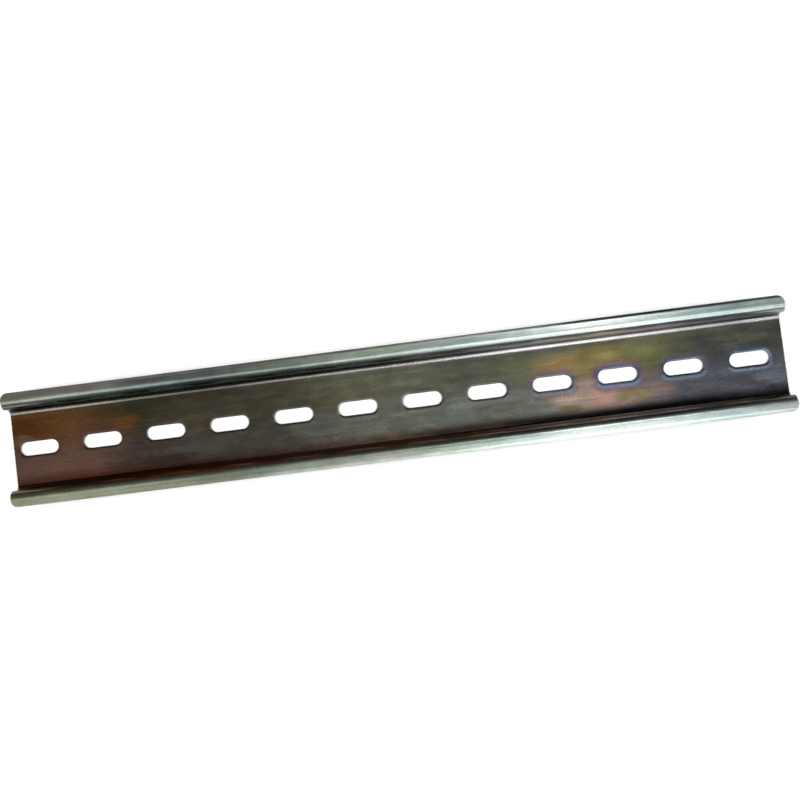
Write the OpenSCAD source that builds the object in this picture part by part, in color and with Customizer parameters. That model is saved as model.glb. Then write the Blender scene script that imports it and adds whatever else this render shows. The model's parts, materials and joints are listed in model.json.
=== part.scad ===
// Top-hat mounting rail for clip-on electrical devices. A strip of sheet steel is
// rolled into a shallow channel with two turned-out lips, punched with a row of
// round-ended slots down the middle of its web, and cut to length.
//
// Millimetres. +X runs along the rail, +Y across it and +Z from the mounting back,
// which lies on Z = 0, to the faces of the lips. X = 0 is halfway along the rail.

/* [Section] */

// Width across the two lips
rail_width = 35; // [34:0.5:40]

// Depth from the mounting back to the faces of the lips
rail_depth = 7.5; // [6.5:0.5:15]

// Width across the outer faces of the two walls
wall_span = 27; // [24:0.5:27]

// Thickness of the rolled sheet
sheet = 1; // [0.8:0.1:1.5]

// Radius on the inside of every bend
bend_radius = 1.5; // [0.4:0.1:1.6]

/* [Cut piece] */

// Length of the rail
rail_length = 238.5; // [80:0.5:1000]

// Radius that rounds the four corners of the lips
lip_corner_radius = 2.2; // [0.5:0.1:2.4]

/* [Slots] */

// Length of a slot over its round ends
slot_length = 12; // [8:0.5:15]

// Width of a slot
slot_width = 4.2; // [3:0.1:6.2]

// Distance from the centre of one slot to the next
slot_pitch = 20; // [18:1:40]

// Distance from the rail's left end to the centre of the first slot
first_slot_at = 8; // [8:0.1:20]

// Least metal kept between the last slot and the rail's right end
end_land = 3; // [1:0.5:10]

/* [Hidden] */

$fn = 64;
overshoot = 1; // how far a cutter runs past the faces it cuts

// The bends all turn through a right angle round one of two centres on each side:
// one above the web, inside the channel, and one below the lip, outside it.
outer_bend_radius = bend_radius + sheet;
web_bend_y = wall_span / 2 - outer_bend_radius;
web_bend_z = outer_bend_radius;
lip_bend_y = wall_span / 2 + bend_radius;
lip_bend_z = rail_depth - outer_bend_radius;

slot_radius = slot_width / 2;
slot_half_straight = slot_length / 2 - slot_radius;
slot_row_room = rail_length - first_slot_at - slot_length / 2 - end_land;
slot_count = floor(slot_row_room / slot_pitch) + 1;
slot_centres = [for (i = [0 : slot_count - 1]) first_slot_at - rail_length / 2 + i * slot_pitch];

// Quarter of a ring of sheet round the origin, in the quadrant of +X and +Y
module quarter_bend() {
    difference() {
        intersection() {
            circle(r = outer_bend_radius);
            square(outer_bend_radius);
        }
        circle(r = bend_radius);
    }
}

// One side of the section, from the middle of the web to the edge of one lip.
// X is the distance from the rail's centre line and Y the height above its back.
module half_section() {
    square([web_bend_y, sheet]);
    translate([web_bend_y, web_bend_z]) mirror([0, 1]) quarter_bend();
    translate([wall_span / 2 - sheet, web_bend_z]) square([sheet, lip_bend_z - web_bend_z]);
    translate([lip_bend_y, lip_bend_z]) mirror([1, 0]) quarter_bend();
    translate([lip_bend_y, rail_depth - sheet]) square([rail_width / 2 - lip_bend_y, sheet]);
}

// The rolled strip, one side of it: +1 for the side at +Y and -1 for the side at -Y
module half_strip(side) {
    rotate([90, 0, 90])
        linear_extrude(rail_length, center = true)
            mirror([side > 0 ? 0 : 1, 0]) half_section();
}

// What is cut from the corner of a lip to round it, with the corner at the origin
// and the lip in the quadrant of -X and -Y
module corner_cutter() {
    translate([-lip_corner_radius, -lip_corner_radius, -overshoot])
        linear_extrude(rail_depth + 2 * overshoot)
            difference() {
                square(lip_corner_radius + overshoot);
                circle(r = lip_corner_radius);
            }
}

// Round-ended slot through the web, centred on the origin
module slot_cutter() {
    translate([0, 0, -overshoot]) {
        for (end = [-1, 1])
            translate([end * slot_half_straight, 0, 0])
                cylinder(r = slot_radius, h = sheet + 2 * overshoot);
        translate([-slot_half_straight, -slot_radius, 0])
            cube([2 * slot_half_straight, slot_width, sheet + 2 * overshoot]);
    }
}

// Puts a thing drawn for the corner at +X and +Y at one of the rail's four corners
module at_corner(end, side) {
    translate([end * rail_length / 2, side * rail_width / 2, 0])
        mirror([end < 0 ? 1 : 0, 0, 0])
            mirror([0, side < 0 ? 1 : 0, 0])
                children();
}

module rail() {
    color("#8f8f85")
        difference() {
            union() {
                half_strip(1);
                half_strip(-1);
            }
            for (x = slot_centres)
                translate([x, 0, 0]) slot_cutter();
            for (end = [-1, 1], side = [-1, 1])
                at_corner(end, side) corner_cutter();
        }
}

rail();
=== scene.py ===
# %% [markdown]
# # A short length of top-hat rail
#
# The object is one strip of thin steel, punched with a row of slots, rolled to the
# section that clip-on switches and terminals snap onto, cut to length and plated. This
# lesson builds it the way a roll-forming line does: first a flat, punched strip, then
# the bends, and last the plating with the coloured film that makes such rail shimmer.
#
# The solid from the CAD model is loaded first. It fixes every size and place, and what
# is made here has to stay inside it.

import json
import math

import bpy
import numpy as np
from mathutils import Matrix, Vector


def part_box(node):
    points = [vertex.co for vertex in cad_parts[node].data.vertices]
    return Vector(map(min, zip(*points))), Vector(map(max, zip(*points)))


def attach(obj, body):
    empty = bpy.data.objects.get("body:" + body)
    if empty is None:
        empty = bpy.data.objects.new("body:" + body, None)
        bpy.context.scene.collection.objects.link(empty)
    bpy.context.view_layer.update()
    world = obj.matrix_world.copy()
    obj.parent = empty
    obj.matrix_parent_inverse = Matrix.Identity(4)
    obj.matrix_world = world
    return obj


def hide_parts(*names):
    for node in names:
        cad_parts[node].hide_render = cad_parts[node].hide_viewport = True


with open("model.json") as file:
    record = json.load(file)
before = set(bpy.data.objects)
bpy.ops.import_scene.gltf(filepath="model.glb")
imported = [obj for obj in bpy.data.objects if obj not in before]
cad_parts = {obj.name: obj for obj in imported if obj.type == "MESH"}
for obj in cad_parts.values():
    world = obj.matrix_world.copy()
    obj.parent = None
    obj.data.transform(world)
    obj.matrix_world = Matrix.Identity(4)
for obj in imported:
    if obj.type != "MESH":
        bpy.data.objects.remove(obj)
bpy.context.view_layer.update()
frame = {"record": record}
low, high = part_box("rail")
print("CAD box, mm:", [round(1000 * size, 2) for size in high - low])

# %% [markdown]
# ## Sizes
#
# The overall sizes are measured on the CAD piece. The slots are read from the record's
# mounts, which list them in pairs round the middle of the row. The section's own sizes
# are those of the rolled sheet: its thickness, its bends and the span of its walls.

# %% Sizes of the rail
MM = 0.001
LENGTH = high.x - low.x
WIDTH = high.y - low.y
DEPTH = high.z - low.z
SHEET = 1.0 * MM
WALL_SPAN = 27.0 * MM
BEND_RADIUS = 1.5 * MM
LIP_CORNER_RADIUS = 2.2 * MM

slot_pairs = [m for m in frame["record"]["mounts"] if m["kind"] == "bolt_pattern"]
SLOT_RADIUS = slot_pairs[0]["dims"]["hole_r_mm"] * MM
SLOT_HALF_STRAIGHT = slot_pairs[0]["dims"]["slot_length_mm"] * MM / 2 - SLOT_RADIUS
slot_centres = sorted(
    pair["pos_m"][0] + side * pair["dims"]["spacing_x_mm"] * MM / 2
    for pair in slot_pairs
    for side in (-1, 1)
)
SLOT_PITCH = slot_centres[1] - slot_centres[0]
print(len(slot_centres), "slots, first centre at", round(slot_centres[0] / MM, 2), "mm")

# %% [markdown]
# ## The section as a walk
#
# A rolled section is easy to describe as a walk along the middle of the sheet: straight
# on, turn, straight on. Starting in the middle of the web, the walk goes up the wall
# round one bend and out along the lip round a second. On real rail the lips spring back
# a little past level, so the second bend turns slightly more than a right angle.
#
# Drawing the outline as points would work too, but the walk has a great advantage. It
# says where any point of the flat strip ends up, so the strip can be modelled flat,
# where slots and corners are simple, and then rolled up by one function.

# %% Walk along half the section
LIP_DROOP = math.radians(1.2)
MIDDLE_RADIUS = BEND_RADIUS + SHEET / 2

web_half = WALL_SPAN / 2 - SHEET - BEND_RADIUS
wall_height = DEPTH - 2 * (SHEET + BEND_RADIUS)
lip_root = WALL_SPAN / 2 + BEND_RADIUS + MIDDLE_RADIUS * math.sin(LIP_DROOP)
lip_width = (WIDTH / 2 - lip_root - SHEET / 2 * math.sin(LIP_DROOP)) / math.cos(LIP_DROOP)

# each step of the walk is (length along the middle of the sheet, angle turned)
quarter_turn = math.pi / 2
walk = [
    (web_half, 0.0),
    (MIDDLE_RADIUS * quarter_turn, quarter_turn),
    (wall_height, 0.0),
    (MIDDLE_RADIUS * (quarter_turn + LIP_DROOP), -quarter_turn - LIP_DROOP),
    (lip_width, 0.0),
]
walk_ends = np.cumsum([0.0] + [length for length, _ in walk])
STRIP_HALF = walk_ends[-1]
print("flat strip is", round(2 * STRIP_HALF / MM, 2), "mm wide")


def roll(across, depth):
    """Rolled-up (y, z) of points across the flat strip, depth above its middle."""
    side = np.sign(across)
    left = np.abs(across)
    y, z, heading = np.zeros_like(left), np.full_like(left, SHEET / 2), np.zeros_like(left)
    for length, turn in walk:
        step = np.clip(left, 0.0, length)
        left = left - step
        turned = turn * step / length
        # a step that turns follows a chord of its arc, half-way between its two headings
        chord = step * np.sinc(turned / (2 * math.pi))
        y += chord * np.cos(heading + turned / 2)
        z += chord * np.sin(heading + turned / 2)
        heading = heading + turned
    return side * (y - depth * np.sin(heading)), z + depth * np.cos(heading)


# %% [markdown]
# ## Lines for the flat mesh
#
# A bend needs many narrow rows of faces to look round, while a flat needs few. Each flat
# also gets a row close to each end, so that smooth shading stays in the bend and doesn't
# leak on to the flat.

# %% Rows across the strip
EDGE_ROUND = 0.18 * MM     # rounding of the outline's sheared edges on the front
SLOT_ROUND = 0.36 * MM     # and of the slots' edges, drawn in by the punch
BACK_ROUND = 0.10 * MM     # and on the back
SUPPORT = 0.12 * MM
BLOCK_HALF_HEIGHT = 4.6 * MM
CORNER_STEPS = 8


def spaced(start, end, count):
    """count equal steps from start to end, both ends included."""
    return list(np.linspace(start, end, count + 1))


def flat_lines(start, end, count):
    """Equal steps over a flat, with a support line close to each end."""
    return [start] + spaced(start + SUPPORT, end - SUPPORT, count) + [end]


corner_core = STRIP_HALF - LIP_CORNER_RADIUS
corner_reach = LIP_CORNER_RADIUS - EDGE_ROUND
corner_angles = spaced(0.0, quarter_turn, CORNER_STEPS)
rows = spaced(BLOCK_HALF_HEIGHT, web_half - SUPPORT, 5) + [web_half]
rows += spaced(walk_ends[1], walk_ends[2], 10)[1:]
rows += flat_lines(walk_ends[2], walk_ends[3], 2)[1:]
rows += spaced(walk_ends[3], walk_ends[4], 14)[1:]
rows += [walk_ends[4] + SUPPORT]
rows += [corner_core + corner_reach * math.sin(angle) for angle in corner_angles]
print(len(rows), "rows on each side of the slots")

# %% [markdown]
# ## Columns, with a block at every slot
#
# Along the rail the mesh is divided into plain stretches and blocks of fixed length, one
# block round each slot. The columns of a stretch only have to be close enough to follow
# the reflections. The two cut ends get a support column each, as the bends did.

# %% Columns along the strip
BLOCK_HALF_LENGTH = 7.6 * MM
COLUMN_SPACING = 1.5 * MM
ARC_STEPS = 4              # steps for each eighth of a turn round a slot's end
STRAIGHT_STEPS = 4         # steps along a slot's straight sides
block_steps = 2 * ARC_STEPS + STRAIGHT_STEPS
end_x = LENGTH / 2 - EDGE_ROUND

gaps = [-end_x] + slot_centres + [end_x]
columns = []
for left, right in zip(gaps[:-1], gaps[1:]):
    start = left if left == -end_x else left + BLOCK_HALF_LENGTH
    end = right if right == end_x else right - BLOCK_HALF_LENGTH
    steps = max(2, round((end - start) / COLUMN_SPACING))
    stretch_columns = spaced(start, end, steps)
    if left == -end_x:
        stretch_columns.insert(1, start + SUPPORT)
    if right == end_x:
        stretch_columns.insert(-1, end - SUPPORT)
    columns.append(stretch_columns)
print(len(columns), "plain stretches between", len(slot_centres), "slotted blocks")

# %% [markdown]
# ## The punched strip, flat
#
# Round each slot the mesh is a block of rings: the inner ring follows the slot, the
# outer one is a rectangle that fits the rows and columns of the rest. Rings give clean
# quads along the rim, where light is caught. A boolean cut would be quicker to write,
# but leaves long thin faces that shade badly once the strip is rolled and polished.

# %% Rings round one slot
RING_STEPS = [0.0, 0.22 * MM, 0.5 * MM, 0.9 * MM]


def slot_ring(radius):
    """Points of a ring round a slot at the origin, from its lower right, anticlockwise."""
    eighth = quarter_turn / 2
    right = [(SLOT_HALF_STRAIGHT, a) for a in spaced(-eighth, eighth, 2 * ARC_STEPS)]
    top_right = [(SLOT_HALF_STRAIGHT, a) for a in spaced(eighth, 2 * eighth, ARC_STEPS)]
    steps = spaced(SLOT_HALF_STRAIGHT, -SLOT_HALF_STRAIGHT, STRAIGHT_STEPS)
    top = [(x, 2 * eighth) for x in steps]
    top_left = [(-SLOT_HALF_STRAIGHT, a) for a in spaced(2 * eighth, 3 * eighth, ARC_STEPS)]
    half = right[:-1] + top_right[:-1] + top[:-1] + top_left[:-1]
    upper = [(x + radius * math.cos(a), radius * math.sin(a)) for x, a in half]
    return upper + [(-x, -y) for x, y in upper]


def block_ring():
    """The same number of points on the rectangle round the block."""
    a, b = BLOCK_HALF_LENGTH, BLOCK_HALF_HEIGHT
    right = [(a, y) for y in spaced(-b, b, 2 * ARC_STEPS)]
    top = [(x, b) for x in spaced(a, -a, block_steps)]
    half = right[:-1] + top[:-1]
    return half + [(-x, -y) for x, y in half]


rings = [slot_ring(SLOT_RADIUS + SLOT_ROUND + step) for step in RING_STEPS]
outer_slot, frame_ring = np.array(rings[-1]), np.array(block_ring())
rings.append([tuple(point) for point in (outer_slot + frame_ring) / 2])
rings.append([tuple(point) for point in frame_ring])
print(len(rings), "rings of", len(rings[0]), "points round each slot")

# %% [markdown]
# ## Patches
#
# A patch is a plain grid of points. There is one for each ring block, one for each
# stretch between two blocks, and one for each side of the slot row, from the blocks out
# to the edge of the lip. Where a side patch reaches the end of the rail, its points are
# drawn in, so that the mesh follows the round corners of the lips without a single cut.

# %% Patches of the flat sheet
block_rows = [y for x, y in block_ring()[: 2 * ARC_STEPS + 1]]
TAPER_FROM = LENGTH / 2 - LIP_CORNER_RADIUS - 1.0 * MM   # drawn in from here on


def end_at(across):
    """How far the sheet reaches along X at a distance across, with its lip corners round."""
    beyond = min(max(abs(across) - corner_core, 0.0), corner_reach)
    short = LIP_CORNER_RADIUS - EDGE_ROUND - math.sqrt(corner_reach**2 - beyond**2)
    return end_x - short


def with_round_corners(x, across):
    """Draws a grid point in so that the ends of the lips' rows lie on the round corners."""
    if abs(x) <= TAPER_FROM:
        return x, across
    share = (abs(x) - TAPER_FROM) / (end_x - TAPER_FROM)
    return math.copysign(TAPER_FROM + share * (end_at(across) - TAPER_FROM), x), across


patches = []
inward = [ring + ring[:1] for ring in reversed(rings)]
for centre in slot_centres:
    patches.append([[(centre + x, y) for x, y in ring] for ring in inward])
for stretch in columns:
    patches.append([[(x, y) for x in stretch] for y in block_rows])

all_columns = [x for stretch in columns for x in stretch]
for centre in slot_centres:
    all_columns += [centre + x for x in spaced(-BLOCK_HALF_LENGTH, BLOCK_HALF_LENGTH, block_steps)]
all_columns = sorted({round(x, 8) for x in all_columns})
for side_rows in (rows, sorted(-y for y in rows)):
    patches.append([[with_round_corners(x, y) for x in all_columns] for y in side_rows])
print(len(patches), "patches,", len(all_columns), "columns")

# %% [markdown]
# ## From patches to one sheet
#
# The patches meet edge to edge, and points that lie in one place are merged. What is
# left are the sheet's points, its faces, and its open edges: the outline and the slots.

# %% Merge the patches
points, quads, known = [], [], {}


def point_number(x, across):
    """The number of the sheet's point at this place, made when it is first met."""
    key = (round(x * 1e6), round(across * 1e6))
    if key not in known:
        known[key] = len(points)
        points.append((x, across))
    return known[key]


for patch in patches:
    numbers = [[point_number(x, across) for x, across in line] for line in patch]
    for lower, upper in zip(numbers[:-1], numbers[1:]):
        for i in range(len(lower) - 1):
            quads.append((lower[i], lower[i + 1], upper[i + 1], upper[i]))

uses = {}
for quad in quads:
    for a, b in zip(quad, quad[1:] + quad[:1]):
        uses.setdefault(frozenset((a, b)), []).append((a, b))
open_edges = [pairs[0] for pairs in uses.values() if len(pairs) == 1]
print(len(points), "points,", len(quads), "faces,", len(open_edges), "open edges")

# %% [markdown]
# ## The sheared rims
#
# Punching rounds the edge that the tool enters: the sheet is drawn down before it is
# cut. So the front edge of every slot and of the outline gets a wide rounding, and the
# back edge, where the tool came out, a narrow one. These little radii matter more than
# their size suggests, because each one carries a fine light or dark line in the render.
#
# A Bevel modifier could do it, but it has to find the edges by their angle and shortens
# itself where faces are small. Here each open point simply gets a column of points that
# runs over the front rounding, down the cut and round to the back.

# %% Profile of a rim
HALF = SHEET / 2


def rim_profile(front_round):
    """(distance outward, height) pairs from the front face to the back face."""
    front = [
        (front_round * math.sin(a), HALF - front_round * (1 - math.cos(a)))
        for a in spaced(0.0, quarter_turn, 6)
    ]
    back = [
        (front_round - BACK_ROUND * (1 - math.cos(a)), BACK_ROUND * (1 - math.sin(a)) - HALF)
        for a in spaced(0.0, quarter_turn, 3)
    ]
    return front + back + [(0.0, -HALF)]


print("a rim has", len(rim_profile(EDGE_ROUND)), "points from front to back")


def slot_offset(x, across):
    """Vector from the spine of the nearest slot to a point of the flat strip."""
    centre = min(slot_centres, key=lambda c: abs(x - c))
    spine = min(max(x - centre, -SLOT_HALF_STRAIGHT), SLOT_HALF_STRAIGHT)
    return Vector((x - centre - spine, across))


def rim_at(x, across):
    """Direction out of the metal at an open point, and the rounding of the rim there."""
    offset = slot_offset(x, across)
    if offset.length < SLOT_RADIUS + SLOT_ROUND + SUPPORT:
        return -offset.normalized(), SLOT_ROUND
    core_x = LENGTH / 2 - LIP_CORNER_RADIUS
    nearest = Vector((min(max(x, -core_x), core_x), min(max(across, -corner_core), corner_core)))
    return (Vector((x, across)) - nearest).normalized(), EDGE_ROUND


# %% [markdown]
# ## Front, back and rims
#
# The strip has a front and a back face, half a sheet above and below its middle. Both use
# the same quads, with those of the back turned over so that they face outward. Every open
# edge of the sheet then becomes a ribbon of faces between two neighbouring rim columns.

# %% Two faces of the sheet, joined by the rims
count = len(points)
flat = [(x, across, HALF) for x, across in points]
flat += [(x, across, -HALF) for x, across in points]
faces = list(quads)
faces += [tuple(count + number for number in reversed(quad)) for quad in quads]

rim_columns = {}
for number in {number for edge in open_edges for number in edge}:
    x, across = points[number]
    way, front_round = rim_at(x, across)
    column = [number]
    for distance, height in rim_profile(front_round)[1:-1]:
        column.append(len(flat))
        flat.append((x + distance * way.x, across + distance * way.y, height))
    rim_columns[number] = column + [count + number]
for a, b in open_edges:
    first, second = rim_columns[a], rim_columns[b]
    for i in range(len(first) - 1):
        faces.append((first[i], first[i + 1], second[i + 1], second[i]))
flat = np.array(flat)
print(len(flat), "points and", len(faces), "faces in the flat strip")

# %% [markdown]
# ## Rolling it up
#
# Punching also dishes the sheet a little round each slot, and slitting leaves the long
# edges rolled over. Both are sinks in the front face only, a few hundredths to a tenth
# of a millimetre deep, and both bend the reflections near an edge. Then the walk from
# above turns the flat strip into the rolled section.

# %% Sink the edges, then roll
DISH_DEPTH = 0.015 * MM
DISH_REACH = 0.55 * MM
ROLLOVER_DEPTH = 0.14 * MM
ROLLOVER_REACH = 0.55 * MM
# the slitting knife bites deeper toward the right: places along, share of the depth
ROLLOVER_ALONG = (np.array([-119, -78, -35, 21, 53]) * MM, [0.25, 0.35, 0.65, 0.75, 1.0])

spine_distance = np.array([slot_offset(x, across).length for x, across in flat[:, :2]])
from_slot = np.maximum(spine_distance - SLOT_RADIUS, 0.0)
from_edge = np.maximum(STRIP_HALF - np.abs(flat[:, 1]), 0.0)
sink = DISH_DEPTH * np.exp(-((from_slot / DISH_REACH) ** 2))
rollover = ROLLOVER_DEPTH * np.interp(flat[:, 0], *ROLLOVER_ALONG)
sink += rollover * np.exp(-((from_edge / ROLLOVER_REACH) ** 2))
on_front = np.clip(flat[:, 2] / HALF, 0.0, 1.0)
dished = flat[:, 2] - sink * on_front
y, z = roll(flat[:, 1], dished)
rolled = np.column_stack([flat[:, 0], y, z])

mesh = bpy.data.meshes.new("plated_rail")
mesh.from_pydata(rolled.tolist(), [], faces)
mesh.validate()
mesh.shade_smooth()
rail = bpy.data.objects.new("plated_rail", mesh)
bpy.context.scene.collection.objects.link(rail)
print("rolled to", [round(float(size) / MM, 2) for size in np.ptp(rolled, axis=0)], "mm")

# %% [markdown]
# The flat place of each point is kept on the mesh as an attribute, in millimetres:
# along, across and depth. Every pattern in the material is drawn in these coordinates,
# so streaks from the rolls run on round the bends just as they do on the real strip.

# %% Keep the flat place of every point
flat_place = mesh.attributes.new("flat_place", "FLOAT_VECTOR", "POINT")
flat_place.data.foreach_set("vector", (flat / MM).astype(np.float32).ravel())

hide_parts("rail")
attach(rail, "root")
print("stands for the CAD piece:", rail.name)

# %% [markdown]
# ## Camera
#
# The camera hangs over the rail, close enough for strong perspective: the lips, which
# are nearer, reach out past the web at both ends. It leans about two degrees each way
# and is turned about its own axis, so that the rail climbs to the right.

# %% Place the camera
camera = bpy.data.objects.new("camera", bpy.data.cameras.new("camera"))
camera.data.sensor_width = 36.0
camera.data.lens = 43.88
camera.data.clip_start = 0.01
camera.location = Vector((11.82, -11.04, 300.0)) * MM
lean_right = Matrix.Rotation(math.radians(1.9), 4, "Y")
lean_up = Matrix.Rotation(math.radians(2.246), 4, "X")
turn = Matrix.Rotation(math.radians(-7.065), 4, "Z")
camera.matrix_world = Matrix.Translation(camera.location) @ lean_right @ lean_up @ turn
bpy.context.scene.collection.objects.link(camera)
bpy.context.scene.camera = camera
print("camera is", round(camera.location.z / MM), "mm above the floor")

# %% [markdown]
# ## Helpers for node trees
#
# A material here is a tree of small sums, so it reads best as code when each node is one
# call that gives back its output. A value may be a plain number or the output of
# another node.

# %% Small helpers, one node each
def feed(tree, value, socket):
    """Joins an output to a socket, or sets a plain value on it."""
    if isinstance(value, bpy.types.NodeSocket):
        tree.links.new(value, socket)
    else:
        socket.default_value = value


def calc(tree, operation, *values, clamp=False):
    """One Math node."""
    node = tree.nodes.new("ShaderNodeMath")
    node.operation = operation
    node.use_clamp = clamp
    for value, socket in zip(values, node.inputs):
        feed(tree, value, socket)
    return node.outputs[0]


def rise(tree, value, start, end, low_value=0.0, high_value=1.0):
    """Goes smoothly from low_value to high_value as value goes from start to end."""
    node = tree.nodes.new("ShaderNodeMapRange")
    node.interpolation_type = "SMOOTHSTEP"
    for item, name in (
        (value, "Value"), (start, "From Min"), (end, "From Max"),
        (low_value, "To Min"), (high_value, "To Max"),
    ):
        feed(tree, item, node.inputs[name])
    return node.outputs["Result"]


print("helpers: feed, calc, rise")

# %% [markdown]
# ## Floor and studio
#
# The floor is a plain pale sheet. It has two lights of its own, joined to it by light
# linking, so that it can be as bright as a lit table without the polished steel mirroring
# them. The floor is the only thing in their receiver collection. They are sun lamps,
# which light it evenly as far as it goes, and their wide angle keeps the shadows soft.

# %% Plain floor with its own lights
FLOOR_HALF = 3.0
floor_mesh = bpy.data.meshes.new("floor")
corners = [(-1, -1), (1, -1), (1, 1), (-1, 1)]
floor_points = [(FLOOR_HALF * x, FLOOR_HALF * y, low.z) for x, y in corners]
floor_mesh.from_pydata(floor_points, [], [(0, 1, 2, 3)])
floor = bpy.data.objects.new("floor", floor_mesh)
bpy.context.scene.collection.objects.link(floor)

floor_paint = bpy.data.materials.new("floor_paint")
floor_paint.use_nodes = True
paint = floor_paint.node_tree.nodes["Principled BSDF"]
paint.inputs["Base Color"].default_value = (0.9, 0.9, 0.9, 1.0)
paint.inputs["Roughness"].default_value = 0.9
paint.inputs["Specular IOR Level"].default_value = 0.1
floor_mesh.materials.append(floor_paint)

FLOOR_LIGHT_TILT = math.radians(40)
lit_by_floor_lights = bpy.data.collections.new("lit_by_floor_lights")
lit_by_floor_lights.objects.link(floor)
for side, name in ((-1, "floor_light_left"), (1, "floor_light_right")):
    data = bpy.data.lights.new(name, "SUN")
    data.energy = 2.25
    data.angle = math.radians(45)
    light = bpy.data.objects.new(name, data)
    light.rotation_euler.y = side * FLOOR_LIGHT_TILT
    light.light_linking.receiver_collection = lit_by_floor_lights
    bpy.context.scene.collection.objects.link(light)
print("floor is", 2 * FLOOR_HALF, "m square, with two lights of its own")

# %% [markdown]
# ## Lights for the steel
#
# Bright metal shows little of its own. What is seen is the room in it, so the lights are
# placed by asking what each face mirrors. The flat faces mirror the ceiling above them.
# The bends that face the front mirror a fan of directions from there down to the front
# wall, and draw each lamp on that side as a thin line along the whole rail. At the back
# there are only two small lamps near the ceiling, so the bends that face it stay dark.

# %% Lights for the steel
def softbox(name, place, aim, size, watts):
    """A rectangular soft light at place, facing aim. size is (along X, along Y)."""
    data = bpy.data.lights.new(name, "AREA")
    data.shape = "RECTANGLE"
    data.size, data.size_y = size
    data.energy = watts
    lamp = bpy.data.objects.new(name, data)
    lamp.location = place
    lamp.rotation_euler = (Vector(aim) - Vector(place)).to_track_quat("-Z", "Y").to_euler()
    bpy.context.scene.collection.objects.link(lamp)


softbox("front_softbox", (0.25, -0.26, 1.0), (0.07, 0, 0), (0.31, 0.32), 1.1)
softbox("front_wall_panel", (0.38, -1.0, 1.0), (0.11, 0, 0), (0.41, 0.57), 1.9)
softbox("left_strip", (-0.32, -0.24, 1.0), (-0.1, 0, 0), (0.75, 0.28), 0.42)
softbox("left_wall_panel", (-0.48, -0.52, 1.0), (-0.1, 0, 0), (0.45, 0.2), 0.32)
softbox("middle_wall_panel", (0.04, -0.54, 1.0), (0, 0, 0), (0.44, 0.16), 0.20)
softbox("ceiling_lamp", (0.23, 0.25, 1.0), (0.07, 0, 0), (0.14, 0.12), 0.55)
softbox("ceiling_strip", (-0.02, 0.22, 1.0), (0, 0, 0), (0.3, 0.12), 0.09)

bpy.context.scene.view_settings.view_transform = "Standard"

# %% [markdown]
# ## The room
#
# The rest of the room is dim, but for a soft glow toward both ends of the rail. From
# above nothing mirrors it, and from the ends it keeps the web from going black. What the
# camera sees behind the floor is a pale backdrop, which lights nothing: the Light Path
# node tells the rays that come from the camera from all the others.

# %% Room and backdrop
world = bpy.data.worlds.new("studio")
world.use_nodes = True
bpy.context.scene.world = world
room = world.node_tree
direction = room.nodes.new("ShaderNodeSeparateXYZ")
feed(room, room.nodes.new("ShaderNodeTexCoord").outputs["Generated"], direction.inputs[0])
toward_ends = calc(room, "ABSOLUTE", direction.outputs["X"])
room_light = room.nodes["Background"]
room_light.inputs["Color"].default_value = (1.0, 1.0, 1.0, 1.0)
feed(room, rise(room, toward_ends, 0.45, 0.85, 0.03, 0.5), room_light.inputs["Strength"])
backdrop = room.nodes.new("ShaderNodeBackground")
backdrop.inputs["Color"].default_value = (0.8, 0.8, 0.8, 1.0)
pick = room.nodes.new("ShaderNodeMixShader")
feed(room, room.nodes.new("ShaderNodeLightPath").outputs["Is Camera Ray"], pick.inputs["Fac"])
feed(room, room_light.outputs[0], pick.inputs[1])
feed(room, backdrop.outputs[0], pick.inputs[2])
feed(room, pick.outputs[0], room.nodes["World Output"].inputs["Surface"])
print("the room is dim, with a glow toward the rail's ends and a pale backdrop")

# %% [markdown]
# ## Helpers for colours and patterns
#
# Four more helpers of one node each. The colour ramp eases between its stops, as film
# does. Noise always comes at a scale of one, and the place is stretched before it goes
# in: the stretch says in millimetres how long, wide and deep the features are.

# %% Helpers for colours and patterns
def ramp(tree, factor, stops):
    """A colour ramp from (position, colour) stops."""
    node = tree.nodes.new("ShaderNodeValToRGB")
    elements = node.color_ramp.elements
    while len(elements) < len(stops):
        elements.new(0.5)
    for element, (position, colour) in zip(elements, stops):
        element.position = position
    for element, (position, colour) in zip(elements, stops):
        element.color = (*colour, 1.0)
    node.color_ramp.interpolation = "EASE"
    feed(tree, factor, node.inputs["Fac"])
    return node.outputs["Color"]


def blend(tree, factor, first, second, mode="MIX"):
    """Mixes two colours; at factor 1 the second one has its full effect."""
    node = tree.nodes.new("ShaderNodeMix")
    node.data_type = "RGBA"
    node.blend_type = mode
    colour_inputs = [socket for socket in node.inputs if socket.type == "RGBA"]
    feed(tree, factor, node.inputs["Factor"])
    for value, socket in zip((first, second), colour_inputs):
        feed(tree, value if isinstance(value, bpy.types.NodeSocket) else (*value, 1.0), socket)
    return next(socket for socket in node.outputs if socket.type == "RGBA")


def stretch(tree, place, sizes, offset=0.0):
    """The place measured in units of sizes (along, across, depth), shifted by offset."""
    node = tree.nodes.new("ShaderNodeVectorMath")
    node.operation = "MULTIPLY_ADD"
    feed(tree, place, node.inputs[0])
    feed(tree, tuple(1.0 / size for size in sizes), node.inputs[1])
    feed(tree, (offset, 1.7 * offset, 2.3 * offset), node.inputs[2])
    return node.outputs[0]


def noise(tree, vector, detail=2.0, roughness=0.5, distortion=0.0):
    """Soft noise with its features about one unit apart; mean 0.5."""
    node = tree.nodes.new("ShaderNodeTexNoise")
    feed(tree, vector, node.inputs["Vector"])
    node.inputs["Scale"].default_value = 1.0
    node.inputs["Detail"].default_value = detail
    node.inputs["Roughness"].default_value = roughness
    node.inputs["Distortion"].default_value = distortion
    return node.outputs["Fac"]


print("helpers: ramp, blend, stretch, noise")

# %% [markdown]
# ## Helpers for node groups
#
# What a material needs more than once is made a node group with named sockets, like a
# function with named arguments. In Blender's editor it shows as one node that can be
# opened, and any other material can use it too.

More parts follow.
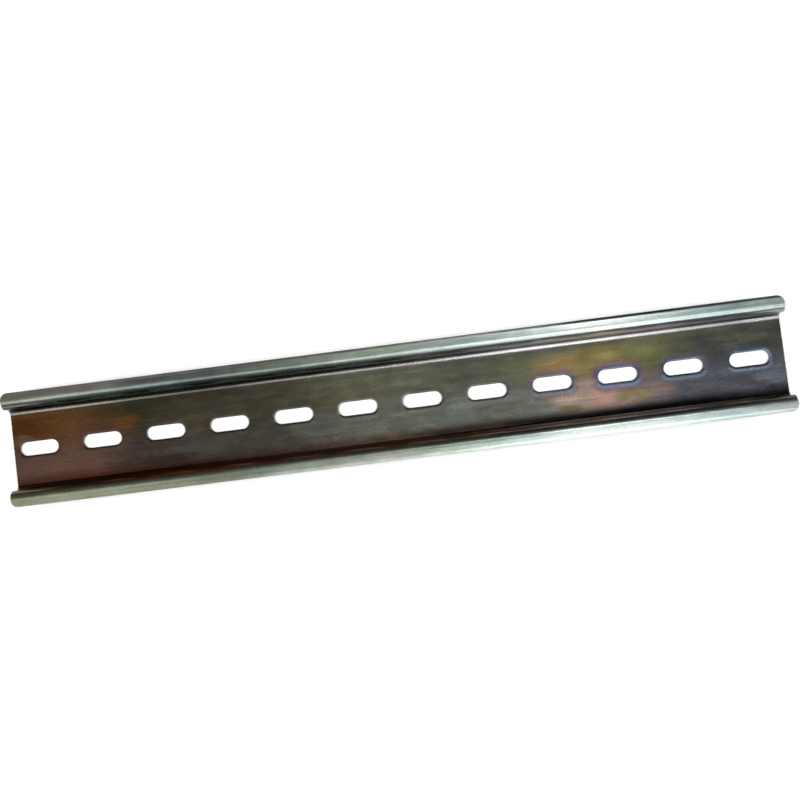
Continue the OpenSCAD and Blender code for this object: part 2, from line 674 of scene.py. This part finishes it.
# %% Helpers for node groups
def new_group(name, inputs, outputs):
    """An empty node group with named sockets; gives the tree and both sets of sockets."""
    tree = bpy.data.node_groups.new(name, "ShaderNodeTree")
    for label, kind, value in inputs:
        socket = tree.interface.new_socket(label, in_out="INPUT", socket_type=kind)
        if value is not None:
            socket.default_value = value
    for label, kind in outputs:
        tree.interface.new_socket(label, in_out="OUTPUT", socket_type=kind)
    given = tree.nodes.new("NodeGroupInput").outputs
    wanted = tree.nodes.new("NodeGroupOutput").inputs
    return tree, given, wanted


def use_group(tree, group, **values):
    """Places a node group; a socket called Slot Radius is given as slot_radius."""
    node = tree.nodes.new("ShaderNodeGroup")
    node.node_tree = group
    for name, value in values.items():
        feed(tree, value, node.inputs[name.replace("_", " ").title()])
    return node.outputs


VECTOR, FLOAT = "NodeSocketVector", "NodeSocketFloat"
print("helpers: new_group, use_group")

# %% [markdown]
# ## How far is the nearest slot?
#
# The film that colours the plating changes close to a punched edge. The slots repeat at
# an even pitch, so one sum serves all of them: wrap the place along the rail to one
# pitch, and take the distance to an obround there.

# %% Group: distance to the nearest slot
slot_distance, given, wanted = new_group(
    "slot_distance",
    [
        ("Place", VECTOR, None),
        ("Pitch", FLOAT, SLOT_PITCH / MM),
        ("First Slot", FLOAT, slot_centres[0] / MM),
        ("Half Straight", FLOAT, SLOT_HALF_STRAIGHT / MM),
        ("Slot Radius", FLOAT, SLOT_RADIUS / MM),
    ],
    [("Distance", FLOAT)],
)
axes = slot_distance.nodes.new("ShaderNodeSeparateXYZ")
feed(slot_distance, given["Place"], axes.inputs[0])
half_pitch = calc(slot_distance, "MULTIPLY", given["Pitch"], 0.5)
from_first = calc(slot_distance, "SUBTRACT", axes.outputs["X"], given["First Slot"])
shifted = calc(slot_distance, "ADD", from_first, half_pitch)
wrapped = calc(slot_distance, "FLOORED_MODULO", shifted, given["Pitch"])
from_centre = calc(slot_distance, "ABSOLUTE", calc(slot_distance, "SUBTRACT", wrapped, half_pitch))
past_straight = calc(slot_distance, "SUBTRACT", from_centre, given["Half Straight"])
past_straight = calc(slot_distance, "MAXIMUM", past_straight, 0.0)
squares = calc(slot_distance, "MULTIPLY", axes.outputs["Y"], axes.outputs["Y"])
squares = calc(slot_distance, "MULTIPLY_ADD", past_straight, past_straight, squares)
to_spine = calc(slot_distance, "SQRT", squares)
distance = calc(slot_distance, "SUBTRACT", to_spine, given["Slot Radius"])
feed(slot_distance, distance, wanted["Distance"])
print("slot_distance has", len(slot_distance.nodes), "nodes")

# %% [markdown]
# ## Lines left by the rolls
#
# The rolls rub fine straight lines into the steel along its whole length, and the
# plating keeps them. Noise that is stretched a hundredfold along the strip gives them.
# Two sizes are mixed, hairlines and broader bands. A third noise, cut off so that only
# its crests are left, gives a few short scratches from handling.

# %% Group: rolling lines
rolling_lines, given, wanted = new_group(
    "rolling_lines",
    [("Place", VECTOR, None), ("Hairlines", FLOAT, 0.6)],
    [("Lines", FLOAT), ("Scratches", FLOAT)],
)
hair_place = stretch(rolling_lines, given["Place"], (30.0, 0.22, 3.0), 3.1)
hair = noise(rolling_lines, hair_place, 2.0, 0.6)
broad_place = stretch(rolling_lines, given["Place"], (70.0, 1.3, 3.0), 7.7)
broad = noise(rolling_lines, broad_place, 2.0, 0.5)
hair_part = calc(rolling_lines, "MULTIPLY", hair, given["Hairlines"])
broad_share = calc(rolling_lines, "SUBTRACT", 1.0, given["Hairlines"])
lines = calc(rolling_lines, "MULTIPLY_ADD", broad, broad_share, hair_part)
feed(rolling_lines, lines, wanted["Lines"])

scratch_place = stretch(rolling_lines, given["Place"], (6.0, 0.14, 3.0), 11.3)
crests = rise(rolling_lines, noise(rolling_lines, scratch_place, 1.0), 0.66, 0.74)
feed(rolling_lines, crests, wanted["Scratches"])
print("rolling_lines has", len(rolling_lines.nodes), "nodes")

# %% [markdown]
# ## Grain and mottle
#
# Electroplating lays the zinc down in grains too small to see one by one, which give a
# soft sparkle. Rinsing and drying leave larger, cloudy differences. One noise makes each.

# %% Group: grain of the plating
plating_grain, given, wanted = new_group(
    "plating_grain",
    [("Place", VECTOR, None)],
    [("Grain", FLOAT), ("Mottle", FLOAT)],
)
grain_place = stretch(plating_grain, given["Place"], (1.1, 0.34, 1.0), 1.3)
feed(plating_grain, noise(plating_grain, grain_place, 2.0, 0.6), wanted["Grain"])
cloud_place = stretch(plating_grain, given["Place"], (6.5, 2.4, 3.0), 5.9)
feed(plating_grain, noise(plating_grain, cloud_place, 3.0, 0.5, 0.3), wanted["Mottle"])
print("plating_grain has", len(plating_grain.nodes), "nodes")

# %% [markdown]
# ## A soft patch
#
# Here and there the film has a patch of another colour with no clear edge. A patch is an
# ellipse round a centre. Its border is pushed in and out by the same mottle that clouds
# the plating, so no two patches look alike.

# %% Group: soft patch
soft_patch, given, wanted = new_group(
    "soft_patch",
    [
        ("Place", VECTOR, None),
        ("Centre", VECTOR, None),
        ("Half Size", VECTOR, (1.0, 1.0, 1.0)),
        ("Ragged", FLOAT, 0.0),
    ],
    [("Mask", FLOAT)],
)
away = soft_patch.nodes.new("ShaderNodeVectorMath")
away.operation = "SUBTRACT"
feed(soft_patch, given["Place"], away.inputs[0])
feed(soft_patch, given["Centre"], away.inputs[1])
scaled = soft_patch.nodes.new("ShaderNodeVectorMath")
scaled.operation = "DIVIDE"
feed(soft_patch, away.outputs[0], scaled.inputs[0])
feed(soft_patch, given["Half Size"], scaled.inputs[1])
span = soft_patch.nodes.new("ShaderNodeVectorMath")
span.operation = "LENGTH"
feed(soft_patch, scaled.outputs[0], span.inputs[0])
reach = calc(soft_patch, "ADD", span.outputs["Value"], given["Ragged"])
feed(soft_patch, rise(soft_patch, reach, 1.35, 0.35), wanted["Mask"])
print("soft_patch has", len(soft_patch.nodes), "nodes")

# %% [markdown]
# ## Plated steel
#
# The plating carries a passive film so thin that it colours like oil on water. Its
# thickness, and with it the colour, drifts along the rail and differs on each flat of
# the section. Each zone therefore has its own ramp along the rail, and the zones are
# laid over each other from the web outwards by how far across the flat strip they lie.

# %% Places and patterns that the material uses
plated = bpy.data.materials.new("plated_steel")
plated.use_nodes = True
tree = plated.node_tree
place_node = tree.nodes.new("ShaderNodeAttribute")
place_node.attribute_name = "flat_place"
place = place_node.outputs["Vector"]
axes = tree.nodes.new("ShaderNodeSeparateXYZ")
feed(tree, place, axes.inputs[0])
along, across, depth = axes.outputs

grain, mottle = use_group(tree, plating_grain, place=place)
lines, scratches = use_group(tree, rolling_lines, place=place)
from_slot = use_group(tree, slot_distance, place=place)["Distance"]

# the ramps run from the left end to the right end, with their borders made uneven
drift = noise(tree, stretch(tree, place, (14.0, 5.0, 50.0), 2.2), 3.0, 0.6)
drift = calc(tree, "MULTIPLY", calc(tree, "SUBTRACT", drift, 0.5), 22.0)
drifted = calc(tree, "ADD", along, drift)
share = calc(tree, "MULTIPLY_ADD", drifted, MM / LENGTH, 0.5, clamp=True)
print("the film drifts over", round(LENGTH / MM), "mm")

# %% [markdown]
# ## Film on the web
#
# The web has two ramps, one for each side of the slots. Colours of thin film come in the
# order of the rainbow's reflections as the film thickens: straw, brown, purple, blue, and
# round again paler. A ramp with listed stops is easier to steer than a sum
# from physics, and costs nothing to render. The border between the two ramps wavers.

# %% Film on the web
upper_web = ramp(tree, share, [
    (0.02, (0.245, 0.09, 0.025)),
    (0.08, (0.34, 0.16, 0.06)),
    (0.12, (0.26, 0.13, 0.06)),
    (0.17, (0.12, 0.12, 0.065)),
    (0.24, (0.24, 0.20, 0.14)),
    (0.33, (0.25, 0.22, 0.15)),
    (0.46, (0.38, 0.38, 0.25)),
    (0.52, (0.34, 0.35, 0.24)),
    (0.60, (0.205, 0.21, 0.155)),
    (0.68, (0.20, 0.21, 0.13)),
    (0.75, (0.29, 0.23, 0.10)),
    (0.84, (0.18, 0.18, 0.09)),
    (0.90, (0.13, 0.13, 0.12)),
    (0.97, (0.20, 0.21, 0.17)),
])
lower_web = ramp(tree, share, [
    (0.02, (0.27, 0.16, 0.12)),
    (0.11, (0.30, 0.16, 0.12)),
    (0.17, (0.14, 0.11, 0.09)),
    (0.24, (0.23, 0.20, 0.165)),
    (0.33, (0.24, 0.23, 0.18)),
    (0.40, (0.40, 0.39, 0.33)),
    (0.46, (0.48, 0.50, 0.41)),
    (0.52, (0.41, 0.43, 0.35)),
    (0.58, (0.34, 0.37, 0.31)),
    (0.63, (0.24, 0.26, 0.21)),
    (0.68, (0.25, 0.25, 0.22)),
    (0.73, (0.45, 0.35, 0.27)),
    (0.77, (0.46, 0.32, 0.28)),
    (0.82, (0.24, 0.20, 0.19)),
    (0.88, (0.15, 0.15, 0.18)),
    (0.93, (0.21, 0.215, 0.26)),
    (0.97, (0.31, 0.36, 0.41)),
])
waver = calc(tree, "MULTIPLY_ADD", mottle, 5.0, -2.5)
toward_upper = rise(tree, calc(tree, "ADD", across, waver), -2.2, 2.2)
colour = blend(tree, toward_upper, lower_web, upper_web)
print("the web has a film for each side of the slots")

# %% [markdown]
# ## Patches of other film
#
# Drops that dry on the fresh film thicken or thin it in spots. They are listed here with
# their place in millimetres, and each is laid over what is already there.

# %% Patches of other film on the web
ragged = calc(tree, "MULTIPLY_ADD", mottle, 2.4, -1.2)
film_patches = [
    # centre (along, across), half size, colour
    ((52.0, 5.6), (9.0, 2.4), (0.43, 0.29, 0.12)),
    ((60.7, 6.0), (3.5, 3.0), (0.27, 0.225, 0.085)),
    ((66.0, 6.2), (4.5, 1.4), (0.38, 0.34, 0.13)),
    ((77.7, 6.4), (6.0, 2.2), (0.25, 0.27, 0.11)),
    ((52.3, -5.5), (4.5, 1.6), (0.62, 0.46, 0.38)),
    ((54.0, -8.3), (4.0, 1.2), (0.27, 0.25, 0.15)),
    ((63.0, -6.0), (4.8, 2.6), (0.60, 0.37, 0.29)),
    ((73.5, -6.6), (5.5, 1.9), (0.36, 0.29, 0.15)),
    ((81.0, -5.2), (4.5, 2.4), (0.31, 0.23, 0.21)),
    ((-116.0, 2.8), (4.0, 1.8), (0.35, 0.23, 0.15)),
    ((-76.0, -8.4), (15.0, 1.3), (0.10, 0.08, 0.065)),
    ((-34.0, -8.4), (8.0, 1.4), (0.30, 0.28, 0.24)),
    ((-10.0, 3.0), (9.0, 1.5), (0.45, 0.44, 0.29)),
    ((111.0, -8.2), (5.0, 1.4), (0.18, 0.18, 0.20)),
    ((-97.0, 1.8), (7.0, 1.4), (0.26, 0.12, 0.09)),
    ((-84.0, 4.0), (5.0, 2.4), (0.36, 0.16, 0.06)),
]
for (x, y), (half_x, half_y), film in film_patches:
    mask = use_group(
        tree, soft_patch, place=place, centre=(x, y, 0.0), half_size=(half_x, half_y, 20.0),
        ragged=ragged,
    )["Mask"]
    colour = blend(tree, mask, colour, film)
print(len(film_patches), "patches on the web")

# %% [markdown]
# ## Film on the lower side
#
# Rolling stretches the sheet most in the bends, so the film takes differently there and
# each face has its own colours. On this side they run from the bend at the foot of the
# web, which is brown at the left and black at the right, over the wall to the lip. That
# black is partly painted shade: the bend mirrors the dark back of the room, and its film
# is darkened to near black there as well.

# %% Films from the lower bend to the lower lip
# partly painted shade: near black toward the right, where the bend mirrors the dark back of the
# room
lower_bend = ramp(tree, share, [
    (0.05, (0.15, 0.05, 0.03)),
    (0.20, (0.09, 0.04, 0.03)),
    (0.36, (0.18, 0.11, 0.08)),
    (0.45, (0.24, 0.15, 0.11)),
    (0.60, (0.06, 0.035, 0.03)),
    (0.70, (0.008, 0.007, 0.01)),
    (0.80, (0.004, 0.004, 0.005)),
    (0.90, (0.006, 0.006, 0.008)),
    (0.97, (0.03, 0.03, 0.035)),
])
lower_wall = ramp(tree, share, [
    (0.05, (0.12, 0.06, 0.03)),
    (0.20, (0.32, 0.06, 0.01)),
    (0.40, (0.26, 0.12, 0.066)),
    (0.60, (0.35, 0.20, 0.10)),
    (0.72, (0.55, 0.42, 0.36)),
    (0.82, (0.66, 0.54, 0.46)),
    (0.93, (0.36, 0.34, 0.30)),
    (0.98, (0.06, 0.06, 0.05)),
])
lower_shoulder = ramp(tree, share, [
    (0.02, (0.19, 0.14, 0.10)),
    (0.12, (0.36, 0.17, 0.09)),
    (0.22, (0.72, 0.25, 0.12)),
    (0.45, (0.59, 0.37, 0.20)),
    (0.58, (0.47, 0.35, 0.22)),
    (0.68, (0.14, 0.16, 0.12)),
    (0.77, (0.19, 0.19, 0.17)),
    (0.86, (0.11, 0.12, 0.10)),
    (0.97, (0.11, 0.11, 0.10)),
])
lower_lip = ramp(tree, share, [
    (0.02, (0.60, 0.63, 0.46)),
    (0.20, (0.53, 0.58, 0.41)),
    (0.28, (0.42, 0.48, 0.38)),
    (0.37, (0.66, 0.75, 0.65)),
    (0.46, (0.86, 0.93, 0.80)),
    (0.60, (0.74, 0.86, 0.74)),
    (0.66, (0.68, 0.80, 0.78)),
    (0.75, (0.80, 0.90, 0.84)),
    (0.92, (0.64, 0.78, 0.77)),
    (0.98, (0.84, 0.95, 0.94)),
])
lower_ridge = ramp(tree, share, [
    (0.02, (0.74, 0.74, 0.49)),
    (0.18, (0.63, 0.72, 0.54)),
    (0.26, (0.52, 0.54, 0.41)),
    (0.36, (0.74, 0.76, 0.63)),
    (0.46, (0.67, 0.72, 0.58)),
    (0.59, (0.52, 0.62, 0.53)),
    (0.67, (0.50, 0.57, 0.57)),
    (0.73, (0.88, 0.98, 0.94)),
    (0.80, (0.74, 0.80, 0.76)),
    (0.92, (0.82, 0.98, 0.97)),
    (0.98, (0.90, 0.98, 0.98)),
])
print("5 films on the lower side")

# %% [markdown]
# ## Film on the upper side
#
# The upper side is the bright one. Its bend at the web and the ridge of its lip catch the
# lamps, and their films are painted pale too, partly film colour and partly painted
# highlight. The wall between them is a dark blue-green, near black at the left end, which
# is partly painted shade, and it turns pale mauve toward the right, partly a painted sheen.
# The very edge of the lip is painted darkest where it is rolled over most, as painted shade
# of the edge turning away from the lamps.

# %% Films from the upper web to the upper lip's edge
# partly painted highlight: the bend's film is made pale where the lamps catch it
upper_bend = ramp(tree, share, [
    (0.03, (0.76, 0.68, 0.63)),
    (0.10, (0.66, 0.62, 0.56)),
    (0.17, (0.30, 0.29, 0.25)),
    (0.26, (0.29, 0.28, 0.26)),
    (0.36, (0.52, 0.50, 0.48)),
    (0.46, (0.74, 0.73, 0.70)),
    (0.64, (0.76, 0.76, 0.78)),
    (0.76, (0.60, 0.59, 0.58)),
    (0.93, (0.42, 0.41, 0.43)),
    (0.98, (0.74, 0.73, 0.74)),
])
# partly painted shade, near black at the left, and painted sheen, pale mauve at the right
upper_wall = ramp(tree, share, [
    (0.02, (0.014, 0.016, 0.014)),
    (0.08, (0.10, 0.175, 0.20)),
    (0.17, (0.20, 0.30, 0.24)),
    (0.28, (0.14, 0.22, 0.19)),
    (0.35, (0.09, 0.14, 0.105)),
    (0.45, (0.125, 0.165, 0.17)),
    (0.58, (0.35, 0.35, 0.33)),
    (0.68, (0.85, 0.86, 0.95)),
    (0.76, (0.98, 0.98, 1.00)),
    (0.84, (0.90, 0.80, 0.95)),
    (0.97, (0.30, 0.29, 0.29)),
])
upper_lip = ramp(tree, share, [
    (0.02, (0.76, 0.72, 0.60)),
    (0.12, (0.79, 0.71, 0.66)),
    (0.20, (0.46, 0.465, 0.415)),
    (0.27, (0.44, 0.48, 0.42)),
    (0.35, (0.56, 0.63, 0.52)),
    (0.46, (0.68, 0.81, 0.66)),
    (0.60, (0.40, 0.47, 0.455)),
    (0.67, (0.45, 0.54, 0.53)),
    (0.74, (0.75, 0.80, 0.76)),
    (0.87, (0.57, 0.69, 0.67)),
    (0.93, (0.36, 0.49, 0.50)),
    (0.98, (0.70, 0.88, 0.83)),
])
# partly painted highlight: the ridge's film is made pale where the lamps catch it
upper_ridge = ramp(tree, share, [
    (0.01, (0.75, 0.75, 0.66)),
    (0.09, (0.65, 0.77, 0.68)),
    (0.18, (0.50, 0.62, 0.58)),
    (0.26, (0.34, 0.42, 0.40)),
    (0.36, (0.52, 0.60, 0.57)),
    (0.46, (0.80, 0.96, 0.84)),
    (0.59, (0.80, 0.94, 0.92)),
    (0.67, (0.67, 0.76, 0.74)),
    (0.78, (0.70, 0.74, 0.72)),
    (0.86, (0.61, 0.73, 0.71)),
    (0.92, (0.64, 0.78, 0.78)),
    (0.97, (0.74, 0.90, 0.86)),
])
upper_edge = ramp(tree, share, [
    (0.05, (0.34, 0.17, 0.07)),
    (0.17, (0.15, 0.13, 0.08)),
    (0.30, (0.22, 0.20, 0.15)),
    (0.46, (0.36, 0.36, 0.26)),
    (0.60, (0.17, 0.17, 0.14)),
    (0.70, (0.14, 0.14, 0.11)),
    (0.77, (0.12, 0.13, 0.08)),
    (0.84, (0.19, 0.18, 0.12)),
    (0.97, (0.17, 0.20, 0.17)),
])
# painted shade: darkest toward the right, where the rolled-over edge turns away from the lamps
upper_lip_edge = ramp(tree, share, [
    (0.05, (0.98, 0.98, 0.90)),
    (0.20, (0.95, 0.97, 0.93)),
    (0.30, (0.74, 0.74, 0.68)),
    (0.46, (0.60, 0.63, 0.54)),
    (0.58, (0.64, 0.67, 0.64)),
    (0.68, (0.52, 0.58, 0.57)),
    (0.76, (0.18, 0.19, 0.19)),
    (0.84, (0.085, 0.09, 0.09)),
    (0.92, (0.20, 0.22, 0.23)),
    (0.98, (0.33, 0.36, 0.36)),
])
print("6 films on the upper side")

# %% [markdown]
# ## Laying the zones
#
# Across the flat strip each film starts softly at its own distance from the middle and
# covers what lies beyond, until the next one takes over. The distances are measured from
# where the web and the walls end, so the zones keep to their faces if a size changes.

# %% Lay the films from the web out to both lips
wall_end = walk_ends[3] / MM
web_end = web_half / MM
strip_edge = STRIP_HALF / MM
downward = calc(tree, "MULTIPLY", across, -1.0)

film_zones = [
    # direction, begins, complete, film
    (across, web_end - 2.6, web_end - 0.8, upper_edge),
    (downward, web_end - 3.8, web_end + 0.1, lower_bend),
    (downward, web_end + 0.9, web_end + 1.6, lower_wall),
    (downward, wall_end + 1.0, wall_end + 1.6, lower_shoulder),
    (downward, wall_end + 1.7, wall_end + 2.5, lower_ridge),
    (downward, wall_end + 3.2, wall_end + 3.8, lower_lip),
    (across, web_end - 0.25, web_end + 0.05, upper_bend),
    (across, web_end + 1.0, web_end + 1.7, upper_wall),
    (across, wall_end + 1.1, wall_end + 1.9, upper_ridge),
    (across, wall_end + 2.9, wall_end + 3.4, upper_lip),
    (across, strip_edge - 1.15, strip_edge - 0.65, upper_lip_edge),
]
for side, start, end, film in film_zones:
    colour = blend(tree, rise(tree, side, start, end), colour, film)
print(len(film_zones), "zones of film from the web out to both lips")

# %% [markdown]
# ## Halos round the slots
#
# A liquid runs off a sheet but clings to the rims of its holes, so the film is thicker
# there. Round the slots at the right that shows as rings of blue-grey and purple. Below
# a slot the ring reaches further, where the liquid drained. The mottle makes the
# distance uneven, which is all it takes to break the perfect outline.

# %% Where the halos lie and how strong they are
below_slot = rise(tree, across, -1.2, -2.2)
halo_distance = calc(tree, "ADD", from_slot, calc(tree, "MULTIPLY_ADD", mottle, 1.4, -0.7))
halo_distance = calc(tree, "MULTIPLY_ADD", below_slot, -0.7, halo_distance)
halo_strength = ramp(tree, share, [
    (0.00, (0.30, 0.30, 0.30)),
    (0.30, (0.20, 0.20, 0.20)),
    (0.62, (0.35, 0.35, 0.35)),
    (0.70, (0.60, 0.60, 0.60)),
    (0.78, (0.95, 0.95, 0.95)),
    (1.00, (0.80, 0.80, 0.80)),
])
print("halos reach further below the slots")

# %% Films of the halos
ring_film = ramp(tree, share, [
    (0.00, (0.22, 0.12, 0.10)),
    (0.25, (0.18, 0.15, 0.14)),
    (0.47, (0.50, 0.53, 0.44)),
    (0.60, (0.24, 0.24, 0.24)),
    (0.68, (0.19, 0.175, 0.22)),
    (0.77, (0.14, 0.165, 0.27)),
    (0.84, (0.125, 0.14, 0.20)),
    (0.90, (0.17, 0.20, 0.25)),
    (0.94, (0.21, 0.25, 0.34)),
    (0.98, (0.32, 0.38, 0.50)),
])
streak_film = ramp(tree, share, [
    (0.00, (0.26, 0.15, 0.12)),
    (0.25, (0.27, 0.24, 0.20)),
    (0.47, (0.60, 0.64, 0.54)),
    (0.60, (0.36, 0.38, 0.34)),
    (0.70, (0.27, 0.335, 0.36)),
    (0.78, (0.24, 0.31, 0.48)),
    (0.87, (0.26, 0.37, 0.44)),
    (0.96, (0.42, 0.52, 0.66)),
])
outer_film = ramp(tree, share, [
    (0.00, (0.24, 0.13, 0.10)),
    (0.60, (0.24, 0.22, 0.22)),
    (0.70, (0.26, 0.19, 0.19)),
    (0.78, (0.28, 0.14, 0.22)),
    (0.87, (0.18, 0.16, 0.20)),
    (0.96, (0.18, 0.20, 0.26)),
])
print("ring, streak and outer films")

# %% Lay the halos
outer_part = calc(tree, "MULTIPLY", rise(tree, halo_distance, 2.5, 1.3), halo_strength)
colour = blend(tree, calc(tree, "MULTIPLY", outer_part, 0.8), colour, outer_film)
inner_part = calc(tree, "MULTIPLY", rise(tree, halo_distance, 1.4, 0.6), halo_strength)
inner_film = blend(tree, below_slot, ring_film, streak_film)
colour = blend(tree, inner_part, colour, inner_film)

print("two rings round every slot")

# %% [markdown]
# ## Painted shade along the slots' lower edges
#
# A dark line is painted along the lower side of each slot, as painted shade: the drawn-in
# edge there mirrors the dark back of the room. It is a line half a millimetre wide that
# fades toward the left end.

# %% Dark line under the slots
lower_side = rise(tree, across, -0.8, -1.9, 0.0, 0.9)
right_end = rise(tree, share, 0.15, 0.55, 0.4, 1.0)
painted_edge_shade = calc(tree, "MULTIPLY", rise(tree, from_slot, 0.95, 0.45), lower_side)
painted_edge_shade = calc(tree, "MULTIPLY", painted_edge_shade, right_end)
# painted shade: a near-black line laid into the film along the lower edge of every slot
colour = blend(tree, painted_edge_shade, colour, (0.05, 0.05, 0.06))
print("dark line under the slots laid")

# %% [markdown]
# ## The back
#
# On the back and the outsides of the walls the film is a plain grey, with no play of
# colour. The third number of the flat place tells them from the front: it is the depth
# in the sheet, above zero on the front and below it on the back.

# %% Plain film on the back
back_film = ramp(tree, share, [
    (0.05, (0.46, 0.42, 0.36)),
    (0.35, (0.40, 0.41, 0.36)),
    (0.60, (0.44, 0.45, 0.43)),
    (0.90, (0.38, 0.40, 0.41)),
])
colour = blend(tree, rise(tree, depth, 0.1, -0.1), colour, back_film)
print("back film laid")

# %% [markdown]
# ## Lines, mottle and grain
#
# The fine patterns only make the film lighter or darker, each by its own share, so they
# are multiplied into one tone. The scratches are added, as they show bright metal.

# %% Lines, mottle and grain in the film
tone = rise(tree, lines, 0.25, 0.75, 0.80, 1.20)
tone = calc(tree, "MULTIPLY", tone, rise(tree, mottle, 0.2, 0.8, 0.88, 1.12))
tone = calc(tree, "MULTIPLY", tone, rise(tree, grain, 0.2, 0.8, 0.89, 1.11))
tone = calc(tree, "MULTIPLY_ADD", scratches, 0.28, tone)
tone_colour = tree.nodes.new("ShaderNodeCombineColor")
for socket in tone_colour.inputs:
    feed(tree, tone, socket)
colour = blend(tree, 1.0, colour, tone_colour.outputs[0], "MULTIPLY")
print("tone laid over every film")

# %% [markdown]
# ## Dull rims
#
# A sheared edge is rough, so its plating stays thin, dull and dark. The depth finds the
# rims again: only they have points between the two faces.

# %% Sheared rims
on_rim = rise(tree, calc(tree, "ABSOLUTE", depth), 0.42, 0.22)
colour = blend(tree, on_rim, colour, (0.13, 0.12, 0.12))
print("rims are dull and dark")

# %% [markdown]
# ## Gloss
#
# Plated strip is a metal all over, so Metallic is one, and the film's colour goes to Base
# Color. Roughness is what makes it look rolled and not chromed. It is a little higher on
# the walls, where the bends have stretched the surface, and on the dull rims. A faint
# bump from the grain and the lines breaks up the long highlights. Its distance is a few
# thousandths of a millimetre, since it has to stay below what the outline would show.

# %% Shader
lip_place = calc(tree, "ABSOLUTE", across)
roughness = rise(tree, lip_place, wall_end, wall_end + 2.0, 0.27, 0.30)
roughness = calc(tree, "MULTIPLY_ADD", calc(tree, "SUBTRACT", mottle, 0.5), 0.08, roughness)
in_wall = rise(tree, across, web_end + 1.2, web_end + 2.0, 0.0, rise(tree, share, 0.5, 0.65))
in_wall = rise(tree, across, wall_end + 1.6, wall_end + 0.9, 0.0, in_wall)
roughness = calc(tree, "MULTIPLY_ADD", in_wall, 0.12, roughness)
in_lower_wall = rise(tree, downward, web_end + 0.6, web_end + 1.4)
in_lower_wall = rise(tree, downward, wall_end + 1.4, wall_end + 0.7, 0.0, in_lower_wall)
roughness = calc(tree, "MULTIPLY_ADD", in_lower_wall, 0.22, roughness)
roughness = calc(tree, "MULTIPLY_ADD", on_rim, 0.2, roughness)
steel = tree.nodes["Principled BSDF"]
feed(tree, colour, steel.inputs["Base Color"])
feed(tree, roughness, steel.inputs["Roughness"])
steel.inputs["Metallic"].default_value = 1.0

bump = tree.nodes.new("ShaderNodeBump")
bump.inputs["Strength"].default_value = 0.35
bump.inputs["Distance"].default_value = 0.003 * MM
height = calc(tree, "ADD", grain, calc(tree, "MULTIPLY", lines, 0.6))
feed(tree, height, bump.inputs["Height"])
feed(tree, bump.outputs["Normal"], steel.inputs["Normal"])
mesh.materials.append(plated)
print("plated_steel has", len(tree.nodes), "nodes")
